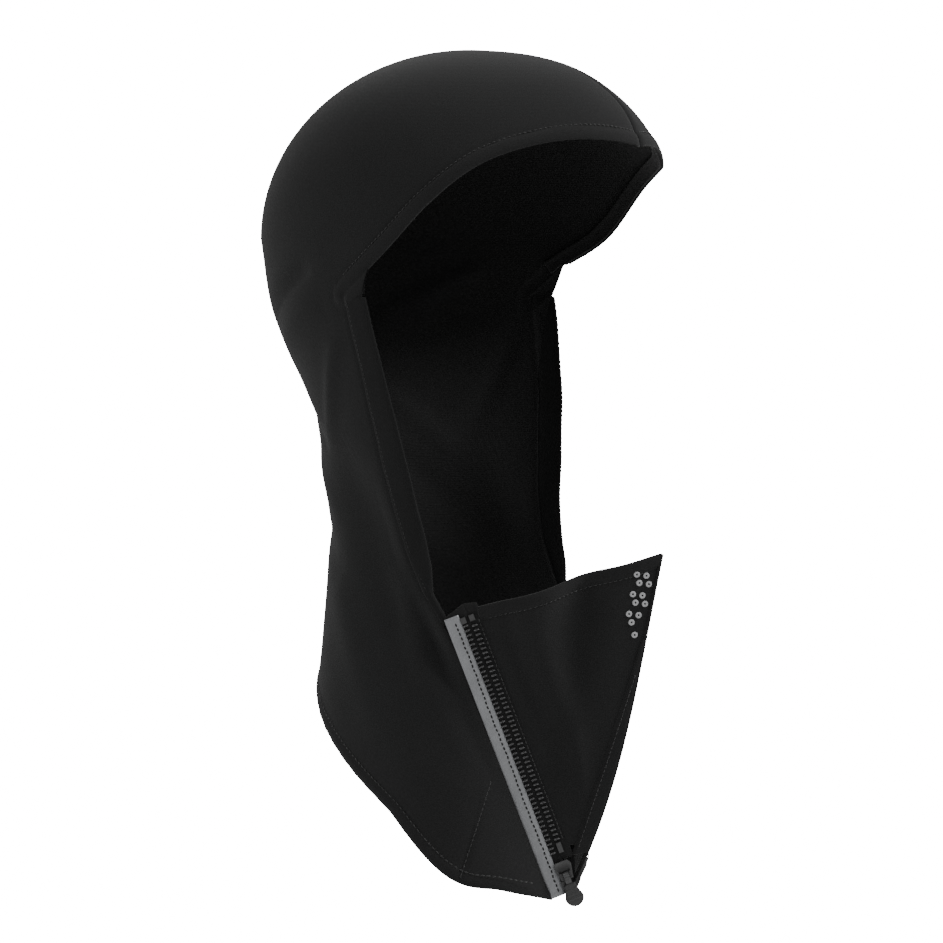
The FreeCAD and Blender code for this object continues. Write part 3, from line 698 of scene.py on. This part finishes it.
# %% Side panels
SIDES = {"right": 1.0, "left": -1.0}
p_rows = np.linspace(0, 1, 190)[:, None]
q_columns = np.linspace(0, 1, 112)[None]
panel_grid = side_point(p_rows, q_columns)
pieces_on = {"right": [], "left": []}
for name, side in SIDES.items():
    laid = laid_on(panel_grid, side)
    relief = hood_relief(panel_grid, side)[..., None]
    shaped = oriented(laid + body_normals(laid) * relief)
    panel = sheet_mesh("side_panel_" + name + "_fleece", shaped, fleece, lining=brushed,
                       n=body_normals(shaped))
    settle(panel, "fleece", "hood", "side_panel_" + name)

# %% [markdown]
# ## Stitches
# A topstitch is a row of short thread floats. Each is a small spindle lying on the cloth,
# thick in its middle and sunk at its ends, with a gap to the next. One function lays a row
# along any path, so every hem, tape and seam is sewn with real thread.

# %% Stitch builder
STITCH_GAP = 0.42


def resample(step, path, normals):
    """Points of a path an even step apart, and the normals that go with them."""
    lengths = np.concatenate([[0], np.cumsum(np.linalg.norm(np.diff(path, axis=0), axis=1))])
    count = max(int(round(lengths[-1] / step)), 2)
    at = np.linspace(0, lengths[-1], count + 1)
    return [np.stack([np.interp(at, lengths, rows[:, k]) for k in range(3)], -1)
            for rows in (path, normals)]


def spindles(start, end, up, radius):
    """Points and faces of a spindle per start and end: four rings of six, thick in the middle."""
    way = unit(end - start)
    up = unit(up - way * np.sum(up * way, -1, keepdims=True))
    across = np.cross(way, up)
    shares = np.array([0.0, 0.3, 0.7, 1.0])
    swell = np.array([0.35, 1.0, 1.0, 0.35]) * radius
    rise = np.array([-0.5, 0.55, 0.55, -0.5]) * radius
    centre = (start[:, None] + (end - start)[:, None] * shares[None, :, None]
              + up[:, None] * rise[None, :, None])
    ring = circles(across, up, 6)
    verts = centre[:, :, None] + ring[:, None] * swell[None, :, None, None]
    firsts = np.arange(len(start))[:, None] * 24
    quads = band_quads(np.arange(24).reshape(4, 6), turned=True)
    quads = (quads[None] + firsts[..., None]).reshape(-1, 4).tolist()
    caps = (firsts + np.arange(6)).tolist() + (firsts + np.arange(23, 17, -1)).tolist()
    return verts.reshape(-1, 3), quads + caps


def stitch_row(name, path, normals, body, step=2.4, fill=0.72, radius=0.26, finish=thread,
               slot="trim_fabric"):
    """Row of spindles along a path, each a share of the step long."""
    points, up = resample(step, path, np.broadcast_to(normals, path.shape))
    floats = spindles(points[:-1], points[:-1] + np.diff(points, axis=0) * fill, up[:-1], radius)
    return settle(new_piece(name, *floats, finish), slot, body)


def beside(path, offset):
    """A path moved sideways over the body, towards the crown for a positive offset."""
    way = unit(np.gradient(path, axis=0))
    outward = unit(np.stack([path[:, 0], path[:, 1], np.maximum(path[:, 2], 0)], -1))
    side = unit(np.cross(outward, way))
    return to_body(path + side * offset)


def sewn(name, path, side, **kind):
    """A stitch row along a path of the plain hood, raised onto its folded cloth."""
    laid = laid_on(path, side)
    up = body_normals(laid)
    raised = laid + up * (hood_relief(path, side) + STITCH_GAP)[:, None]
    return stitch_row(name, raised, up, "hood", **kind)


for name, side in SIDES.items():
    brow_stitch = beside(BROW_LINE[::-1], HEM_WIDTH)[8:-2]
    hem_stitch = beside(HEM_LINE, COLLAR_HEM_WIDTH)[3:-30]
    pieces_on[name] += [
        sewn("brow_topstitch_" + name, brow_stitch, side),
        sewn("collar_topstitch_" + name, hem_stitch, side, step=2.6),
        sewn("gore_stitch_" + name, fold_path(GORE, 120), side, radius=0.2)]
print("stitch rows", sum(len(v) for v in pieces_on.values()))

# %% [markdown]
# ## Allowances inside the hood
# With no head in it, the hood shows its inside: a flat seam tape over the crown, and the
# turned-up allowances of the brow, collar and mask hems. They are strips of the same knit.

# %% Inner strips
# (hem, its edge from the front, the part of it that is turned up, width in mm)
ALLOWANCES = (("brow_hem", BROW_LINE[::-1], slice(18, -6, 2), HEM_WIDTH),
              ("collar_hem", HEM_LINE, slice(4, -60, 2), 5.6))
for name, side in SIDES.items():
    for hem, line, part, width in ALLOWANCES:
        grid = np.stack([beside(line, s)[part] for s in np.linspace(0.6, width, 7)], 1)
        made, relief = oriented(laid_on(grid, side), hood_relief(grid, side))
        piece = sheet_mesh(hem + "_allowance_" + name, made, brushed, thick=0.9,
                           lift=relief - FABRIC - 0.25)
        pieces_on[name].append(settle(piece, "trim_fabric", "hood", hem + "_" + name))

tape_rows = np.linspace(0.035, 0.955, 150)[:, None]
tape_x = np.linspace(-4.0, 4.0, 9)[None]
tape_grid = oriented(worn(middle_seam(tape_rows, tape_x)))
crown_tape = sheet_mesh("crown_seam_inner_tape", tape_grid, trim, thick=0.8, lift=-FABRIC - 1.15)
pieces_on["right"].append(settle(crown_tape, "trim_fabric", "hood", "crown_seam_tape"))
print("inner strips made")

# %% [markdown]
# ## Facings beside the face
# A narrow facing finishes each side of the opening. It is widest at the temple, where it
# tucks under the brow hem's corner, and runs out to nothing at the zip. It is sewn on with a
# row just outside its seam, and its free edge is cut, so it is a little uneven.

# %% Facings
t_rows = np.linspace(0, 1.05, 160)
seam_side = front_edge(t_rows / 2)
last = np.minimum(t_rows, 1.0)
free_side = on_body(*along(FACE_EDGE, last)) + seam_side - front_edge(last / 2)
narrow = (1 - 0.5 * ease((t_rows - 0.85) / 0.2))[:, None]
free_side = seam_side + (free_side - seam_side) * narrow
across_share = np.linspace(0.02, 1, 15)[None]
s_columns = across_share[..., None]
facing_grid = seam_side[:, None] * (1 - s_columns) + free_side[:, None] * s_columns
foot = ease((t_rows - 0.92) / 0.1)[:, None, None]
facing_grid = to_body(facing_grid) * (1 - foot) + facing_grid * foot
ragged = 0.18 * np.sin(t_rows * 410) + 0.12 * np.sin(t_rows * 977 + 1.3)
facing_grid[:, -1] += unit(free_side - seam_side) * ragged[:, None]
facing_height = 0.55 * (1 - (2 * across_share - 1) ** 4) + 0.12 * np.sin(t_rows * 31)[:, None]
facing_stitch = beside(FACING_LINE[::-1], -1.6)[3:-3]
for name, side in SIDES.items():
    made, height = oriented(facing_grid if side > 0 else mirror(facing_grid), facing_height)
    facing = sheet_mesh("face_facing_" + name + "_knit", made, trim, thick=1.3, lift=height)
    pieces_on[name] += [
        settle(facing, "trim_fabric", "hood", "face_facing_" + name),
        sewn("facing_topstitch_" + name, facing_stitch, side, step=2.2, radius=0.22)]

# %% [markdown]
# ## The mask's two halves
# The mask hangs under the chin. Its right half is free along the zip, so it sags: a valley
# runs down from the top edge, and a ridge beside it leads to the zip's foot. At the front
# seam the cloth tapers to a fine edge, so that the two halves meet without crossing.

# %% Mask panels
SEAM_MARGIN = 0.35
# (edge beside the zip in mm, reach down the zip in mm, slack)
HALVES = {"right": (MASK_EDGE, CHAIN_END_INNER, 1.0),
          "left": (-PANEL_EDGE + 0.1, ZIP_LENGTH - 2.0, 0.45)}


def bell(value, centre, width):
    return np.exp(-((value - centre) / width) ** 2)


def mask_relief(t, s, slack):
    """Valley, ridge, creases and top hem of a mask half, in millimetres along its normal."""
    t, s = np.broadcast_arrays(np.asarray(t, float), s)
    fall = np.clip(1 - t, 0, 1)
    valley = -8.5 * bell(s, 0.60 - 0.34 * t, 0.15) * np.clip(1.0 - t / 0.62, 0, 1) ** 0.8
    ridge = 3.4 * bell(s, 0.20 + 0.42 * t, 0.13) * np.sin(np.pi * np.clip(t * 1.1 + 0.05, 0, 1))
    roll = 2.6 * bell(s, 0.30, 0.2) * bell(t, 0.02, 0.12)
    crease = -1.6 * bell(s, 0.12 + 0.12 * t, 0.06) * bell(t, 0.25, 0.3)
    edges = np.clip(s / 0.10, 0, 1) * np.clip((1 - s) / 0.16, 0, 1)
    hem = hem_profile(t * CHAIN_END_INNER, 6.0, 0.7)
    small = 0.35 * np.sin(13 * s + 7 * t) * np.sin(9 * t - 4 * s) * fall
    return (slack * (valley + ridge + roll + crease) + small) * edges + hem


def mask_surface(t, s, half="right", out=0.0):
    """Folded face of a mask half, raised off the zip's plane; both lie on the right."""
    edge, reach, slack = HALVES[half]
    plain = mask_point(t, s, edge, reach, margin=SEAM_MARGIN)
    return plain + ZIP_OUT * (mask_relief(t, s, slack) + out)[..., None]


def mask_grid(t, s, half):
    """A mask half in its real place."""
    grid = mask_surface(t, s, half)
    return grid if half == "right" else mirror(grid)


def mask_width(t, half="right"):
    """Distance across a mask half from its outer edge to the front seam."""
    across = mask_point(t, 0.0, *HALVES[half][:2]) - mask_point(t, 1.0, *HALVES[half][:2])
    return np.linalg.norm(across, axis=-1)


HINGE_DOWN = unit(FRONT_BOTTOM - FRONT_TOP)
flap_way = unit(mask_point(0.3, 0.0) - mask_point(0.3, 1.0))
flap_way = unit(flap_way - HINGE_DOWN * np.dot(flap_way, HINGE_DOWN))


def bend_with_flap(piece):
    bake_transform(piece)
    return piece


def hang(piece, slot, half, *nodes):
    """Right-half pieces are baked in place with no body; those of the left stay with the hood."""
    settle(piece, slot, None if half == "right" else "hood", *nodes)
    return bend_with_flap(piece) if half == "right" else piece


t_grid = np.linspace(0, 1, 150)[:, None]
s_grid = np.linspace(0, 1, 110)[None]
thickness = np.clip(0.25 + (1 - s_grid) * mask_width(t_grid) * 0.62, 0.25, FABRIC)
masks = {}
for half in HALVES:
    shaped = mask_grid(t_grid, s_grid, half)
    made, thick = oriented(shaped, thickness)
    piece = sheet_mesh("mask_panel_" + half + "_fleece", made, fleece, thick=thick)
    masks[half] = (hang(piece, "fleece", half, "mask_panel_" + half), shaped, [])
print("mask halves made")

# %% Mask top hems, front seam and its lap
hem_s = np.linspace(0.03, 0.95, 90)[None]
for half, hem_end in (("right", 0.05), ("left", 0.045)):
    made = oriented(mask_grid(np.linspace(0.006, hem_end, 9)[:, None], hem_s, half))
    piece = sheet_mesh("mask_top_hem_allowance_" + half, made, brushed, thick=0.8,
                       lift=-(FABRIC + 0.15))
    masks[half][2].append(hang(piece, "trim_fabric", half, "mask_top_hem_" + half))


def lap_reach(t):
    """Width of the lap: nothing below the vents, widening down the seam, in again at its foot."""
    return 0.5 + 7.2 * np.sin(np.pi * np.clip((t - 0.27) / 1.12, 0, 1) ** 1.15) ** 0.9


lap_t = np.linspace(0.30, 1.04, 150)[:, None]
lap_k = np.linspace(0, 1, 9)[None]
lap_s = 1 - (0.2 + (lap_reach(lap_t) - 0.2) * lap_k) / mask_width(lap_t)
lap_rise = 0.95 * np.clip((1.02 - lap_k) / 0.12, 0, 1) ** 0.5 * np.ones_like(lap_t)
made, lap_lift = oriented(mask_surface(lap_t, lap_s), lap_rise)
lap = sheet_mesh("front_seam_lap_knit", made, fleece, thick=0.8, lift=lap_lift)
hang(lap, "trim_fabric", "right", "front_seam_lap")


def tube(name, path, radius, finish, sides=12):
    """Round cord along a path: rings across its direction, closed with end caps."""
    way = unit(np.gradient(path, axis=0))
    a = unit(np.cross(way, np.array([0.3, 0.2, 0.93]) + 0 * way))
    ring = circles(a, np.cross(way, a), sides)
    number = np.arange(len(path) * sides).reshape(-1, sides)
    faces = band_quads(number).tolist() + [number[0, ::-1].tolist(), number[-1].tolist()]
    return new_piece(name, path[:, None] + ring * radius, faces, finish)


bead = tube("front_seam_fold", front_seam(np.linspace(0.003, 0.99, 160)), 0.75, fleece)
settle(bead, "trim_fabric", "hood", "front_seam_bead")


def mask_stitches(name, t, s, out, **kind):
    """Row of stitches on the right mask half, baked in place like it."""
    return bend_with_flap(stitch_row(name, mask_surface(t, s, out=out), ZIP_OUT, None, **kind))


t_line = np.linspace(0.42, 1.02, 200)
s_line = np.linspace(0.04, 0.95, 200)
lap_row = mask_stitches("front_seam_topstitch", t_line,
                        1 - (lap_reach(t_line) - 1.7) / mask_width(t_line), 1.15, step=2.2,
                        radius=0.2)
hem_row = mask_stitches("mask_top_topstitch", 6.0 / CHAIN_END_INNER + 0 * s_line, s_line, 0.2,
                        radius=0.22)
masks["right"][2].extend([lap, lap_row, hem_row])

# %% [markdown]
# ## The zip
# The zip is straight, so its pieces are built in its own frame. Each tooth is a rounded block
# with a nose at the gap and a root on the tape's edge; the two rows are staggered by half a
# pitch. The tapes are thin woven strips, and the reflective tape is sewn down over the outer.

# %% Teeth
NOSE_SIZE = (0.56, TOOTH_REACH / 2 - 0.15, 0.80)
ROOT_SIZE = (0.48, 0.62, 0.95)
BLOCK_RINGS, BLOCK_SIDES, BLOCK_POWER = 4, 8, 0.55


def soft(a):
    """A sine or cosine flattened, which turns a ball into a rounded block."""
    return np.sign(a) * np.abs(a) ** BLOCK_POWER


def rounded_blocks(down, across, size):
    """Points and faces of one rounded block at each place down the zip."""
    u = np.linspace(-np.pi / 2, np.pi / 2, BLOCK_RINGS + 2)[1:-1, None]
    v = np.linspace(0, 2 * np.pi, BLOCK_SIDES, endpoint=False)[None]
    x, y = soft(np.cos(u)) * soft(np.cos(v)), soft(np.cos(u)) * soft(np.sin(v))
    z = soft(np.sin(u)) * np.ones_like(v)
    body = np.stack([x * size[0], y * size[1], z * size[2]], -1).reshape(-1, 3)
    body = np.concatenate([body, [[0, 0, -size[2]], [0, 0, size[2]]]])
    ring = np.arange(BLOCK_RINGS * BLOCK_SIDES).reshape(BLOCK_RINGS, BLOCK_SIDES)
    after = np.roll(ring, -1, axis=1)
    low, high = len(body) - 2, len(body) - 1
    fans = [[low, after[0, k], ring[0, k]] for k in range(BLOCK_SIDES)]
    fans += [[high, ring[-1, k], after[-1, k]] for k in range(BLOCK_SIDES)]
    places = zip_point(down[:, None] + body[None, :, 0], across + body[None, :, 1],
                       body[None, :, 2])
    faces = [[i + k * len(body) for i in f] for k in range(len(down))
             for f in band_quads(ring).tolist() + fans]
    return places.reshape(-1, 3), faces


def teeth(name, side, end, stagger, cad, body):
    """One row: noses at the gap, roots behind them, and pale thread loops painted as highlights."""
    at = np.arange(CHAIN_START + 1.0 + stagger, end - 1.0, TOOTH_PITCH)
    near = TOOTH_HALF_GAP + TOOTH_REACH / 2
    points, faces = rounded_blocks(at, side * (near - 0.42), NOSE_SIZE)
    roots, root_faces = rounded_blocks(at + 0.05, side * (near + 0.65), ROOT_SIZE)
    faces += [[i + len(points) for i in face] for face in root_faces]
    row = new_piece(name, np.concatenate([points, roots]), faces, chain_plastic)
    up = np.broadcast_to(ZIP_OUT, (len(at), 3))
    # Two columns of pale dashes on the teeth: painted highlights of the coil's loops.
    for part, (a, b) in enumerate(((0.75, 1.8), (2.3, 3.3))):
        ends = zip_point(at - 0.25, side * a, 0.86), zip_point(at + 0.3, side * b, 0.95)
        loops = spindles(*ends, up, 0.17)
        settle(new_piece(name + "_loops_" + str(part), *loops, loop_thread_painted_highlight), "zip_plastic", body)
    settle(row, "zip_plastic", body, cad)


teeth("zip_teeth_row_outer", -1, CHAIN_END_OUTER, 0.0, "zip_teeth_outer", "hood")
teeth("zip_teeth_row_inner", 1, CHAIN_END_INNER - 3.0, TOOTH_PITCH / 2, "zip_teeth_inner",
      "mask_flap")

# %% Tapes
ROOT_LINE = TOOTH_HALF_GAP + TOOTH_REACH


def zip_strip(name, finish, down, across, out, body, slot, cad, crown=0.0, cut=0.0):
    """Flat strip between two values each way, its face crowned and its upper end slanted."""
    share = np.linspace(0, 1, 140)[:, None]
    a = np.linspace(*across, 9)[None]
    over = (a - across[0]) / (across[1] - across[0])
    start = down[0] + cut * (a - across[0]) / (across[1] - across[0])
    wave = 0.10 * np.sin(share * 61 + a) + 0.06 * np.sin(share * 139)
    arch = crown * (1 - (2 * over - 1) ** 2)
    grid = zip_point(start + (down[1] - start) * share, a + 0 * share, out[1] + arch + wave * 0.4)
    settle(sheet_mesh(name, oriented(grid), finish, thick=out[1] - out[0]), slot, body, cad)


zip_strip("zip_tape_outer_woven", woven, (0.5, 130.0), (-ROOT_LINE - 5.8, 0.55), (-0.5, 0.0),
          "hood", "zip_tape", "zip_tape_outer", cut=-3.0)
zip_strip("zip_tape_inner_woven", woven, (-2.5, 121.0), (0.70, MASK_EDGE + 0.6),
          (-0.55, -0.05), "mask_flap", "zip_tape", "zip_tape_inner", cut=1.5)
zip_strip("reflective_tape_strip", reflective, (1.2, ZIP_LENGTH - 0.6),
          (-PANEL_EDGE - 0.35, -ROOT_LINE - 0.1), (0.15, 0.75), "hood", "reflective",
          "reflective_tape", crown=0.35)

# %% Patch behind the foot of the zip, and the zip's stitches
PATCH_LEFT, PATCH_OUT = -9.3, -3.0
patch_down = np.linspace(110.0, 134.0, 30)[:, None]
patch_width = np.interp(patch_down, [110.0, 118.0, 134.0], [8.2, 8.2, 2.5]) - PATCH_LEFT
patch_across = PATCH_LEFT + patch_width * np.linspace(0, 1, 9)[None]
patch_grid = oriented(zip_point(patch_down, patch_across, PATCH_OUT))
settle(sheet_mesh("zip_foot_patch", patch_grid, trim, thick=0.6), "zip_tape", "hood")
down = np.linspace(4.0, ZIP_LENGTH - 2.0, 260)
wander = 0.28 * np.sin(down * 0.9) * np.sin(down * 0.23 + 1) + 0.15 * np.sin(down * 2.7)
stitch_row("reflective_tape_stitches", zip_point(down, -ROOT_LINE - 2.3 + wander, 0.98), ZIP_OUT,
           "hood", step=2.3, fill=0.86, radius=0.34, finish=trim, slot="reflective")
down = np.linspace(CHAIN_START, CHAIN_END_INNER - 3.0, 200)
stitch_row("zip_inner_edge_stitches", zip_point(down, MASK_EDGE - 1.0, 0.15), ZIP_OUT,
           "mask_flap", step=2.2, radius=0.24, slot="zip_tape")
print("zip built")

# %% [markdown]
# ## Stops, slider and pull
# The small hard pieces of the zip are true in shape already, so they keep their solids and
# only get a finish. The pull's tab is rebuilt with rounded edges and ribs.

# %% Hard pieces
def finish_node(name, finish):
    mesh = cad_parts[name].data
    mesh.materials.clear()
    mesh.materials.append(finish)


for name in ("zip_top_stop_outer", "zip_top_stop_inner", "zip_end_pin", "zip_end_box"):
    finish_node(name, chain_plastic)
for name in ("slider_body", "pull_link"):
    finish_node(name, enamel)

# %% Pull tab
PIN_DOWN, PIN_HEIGHT = 127.5, 3.6
TAB_START, TAB_LENGTH, TAB_HALF = PIN_DOWN + 4.0, 11.0, 4.25
TAB_RINGS, TAB_SIDES, TAB_POWER = 70, 40, 0.6
k = np.linspace(0, 1, TAB_RINGS)[:, None]
around = np.linspace(0, 2 * np.pi, TAB_SIDES, endpoint=False)[None]
end_share = np.clip((k * TAB_LENGTH - TAB_LENGTH + TAB_HALF) / TAB_HALF, 0, 1)
end_round = np.sqrt(np.clip(1 - end_share ** 2, 0, 1))
start_round = np.sqrt(np.clip(1 - np.clip(1 - k / 0.06, 0, 1) ** 2, 0, 1))
taper = 0.58 + 0.42 * np.clip(k / 0.6, 0, 1) ** 1.5
half_width = (TAB_HALF * taper) * end_round * start_round
ribs = 0.28 * np.clip(np.sin((k * TAB_LENGTH - 2.6) * np.pi), 0, 1) * ((k > 0.15) & (k < 0.72))
deep = 1.05 * np.maximum(end_round, 0.02) ** 0.5 * start_round
x, y = np.cos(around), np.sin(around)
across = half_width * np.sign(x) * np.abs(x) ** TAB_POWER
out = (deep + ribs * (np.abs(x) < 0.75)) * np.sign(y) * np.abs(y) ** TAB_POWER
tab_points = zip_point(TAB_START + TAB_LENGTH * k + 0 * around, across, PIN_HEIGHT + out)
number = np.arange(TAB_RINGS * TAB_SIDES).reshape(TAB_RINGS, TAB_SIDES)
tab_faces = band_quads(number, turned=True).tolist()
tab_faces += [number[0].tolist(), number[-1, ::-1].tolist()]
tab = new_piece("pull_tab_ribbed", tab_points, tab_faces, pull_plastic)
settle(tab, "pull_rubber", "pull", "pull_tab")

# %% [markdown]
# ## Vents
# Small pale eyelets beside the front seam let breath through. Each is a low ring that follows
# the folded cloth: a half-round profile turned about the cloth's normal.

# %% Vent rings
VENT_RADIUS, VENT_HOLE, VENT_RISE = 1.45, 0.38, 0.30
VENT_START, VENT_STEP, VENT_TILT = 0.064, 0.0345, 0.016
VENT_NEAR, VENT_FAR, VENT_STAGGER = 5.4, 10.3, 2.1
RING_STEPS, RING_PROFILE = 20, 8
LOOK = 0.01


def vent_rings(half):
    """Rings of one mask half: a closed profile swept round in steps at each place."""
    row = np.array([0, 1, 2, 3, 4, 5, 0, 1, 2, 3, 4, 6])
    far = np.arange(12) < 6
    t = (VENT_START + row * VENT_STEP - VENT_TILT * far) * CHAIN_END_INNER / HALVES[half][1]
    away = np.where(far, VENT_FAR, VENT_NEAR) - VENT_STAGGER * (row % 2)
    s = 1 - away / mask_width(t, half)
    centre = mask_surface(t, s, half)
    a = unit(mask_surface(t + LOOK, s, half) - centre)
    n = unit(np.cross(a, mask_surface(t, s + LOOK, half) - centre))
    n *= np.sign(n @ ZIP_OUT)[:, None]
    profile = np.linspace(0, 2 * np.pi, RING_PROFILE, endpoint=False)
    radius = (VENT_RADIUS + VENT_HOLE) / 2 + (VENT_RADIUS - VENT_HOLE) / 2 * np.cos(profile)
    height = VENT_RISE + VENT_RISE * np.sin(profile)
    spoke = circles(a, np.cross(n, a), RING_STEPS)
    points = centre[:, None, None] + spoke[:, :, None] * radius[None, None, :, None]
    points += n[:, None, None] * height[None, None, :, None]
    count = RING_STEPS * RING_PROFILE
    number = np.arange(count).reshape(RING_STEPS, RING_PROFILE)
    right, up = np.roll(number, -1, axis=0), np.roll(number, -1, axis=1)
    quads = np.stack([number, right, np.roll(right, -1, axis=1), up], -1).reshape(-1, 4)
    faces = (quads[None] + (np.arange(len(t)) * count)[:, None, None]).reshape(-1, 4)
    if half == "left":
        points, faces = mirror(points), faces[:, ::-1]
    rings = new_piece("vent_eyelets_" + half, points, faces, vent_film)
    hang(rings, "vent_plastic", half, "vent_rings_" + half)


for half in HALVES:
    vent_rings(half)
